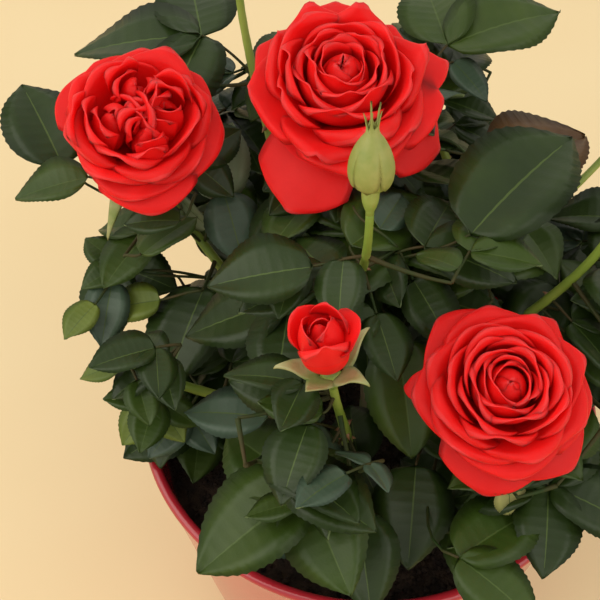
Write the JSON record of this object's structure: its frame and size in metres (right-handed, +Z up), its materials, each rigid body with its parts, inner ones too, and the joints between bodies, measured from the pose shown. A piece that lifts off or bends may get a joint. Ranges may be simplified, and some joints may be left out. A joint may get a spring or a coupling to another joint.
{
  "type": "potted miniature rose bush",
  "caption": "Miniature rose bush in a plain tapering pot: double red blooms and buds over a full crown of three-part leaves.",
  "frame": {"origin": "centre of the pot's flat underside", "axes": "+Z up along the pot's axis; -Y is the side the picture was taken from; +X to the right in the picture"},
  "size_m": [0.2092, 0.2004, 0.2518],
  "materials": {
    "pot": "gloss",
    "compost": "rough",
    "cane": "satin",
    "foliage": "satin",
    "petal": "velvet"
  },
  "bodies": {
    "root": {"pot": "pot", "compost": "compost", "cane_left": "cane", "foliage_left": "foliage", "cane_centre": "cane", "foliage_centre": "foliage", "cane_front": "cane", "foliage_front": "foliage", "cane_right_front": "cane", "foliage_right_front": "foliage", "cane_left_front": "cane", "foliage_left_front": "foliage", "cane_right": "cane", "foliage_right": "foliage", "cane_back_right": "cane", "foliage_back_right": "foliage", "cane_back_left": "cane", "foliage_back_left": "foliage", "bloom_left": "petal", "bloom_top": "petal", "bloom_right": "petal", "bloom_back": "petal", "red_bud_front": "petal", "red_bud_back": "petal"}
  },
  "joints": []
}
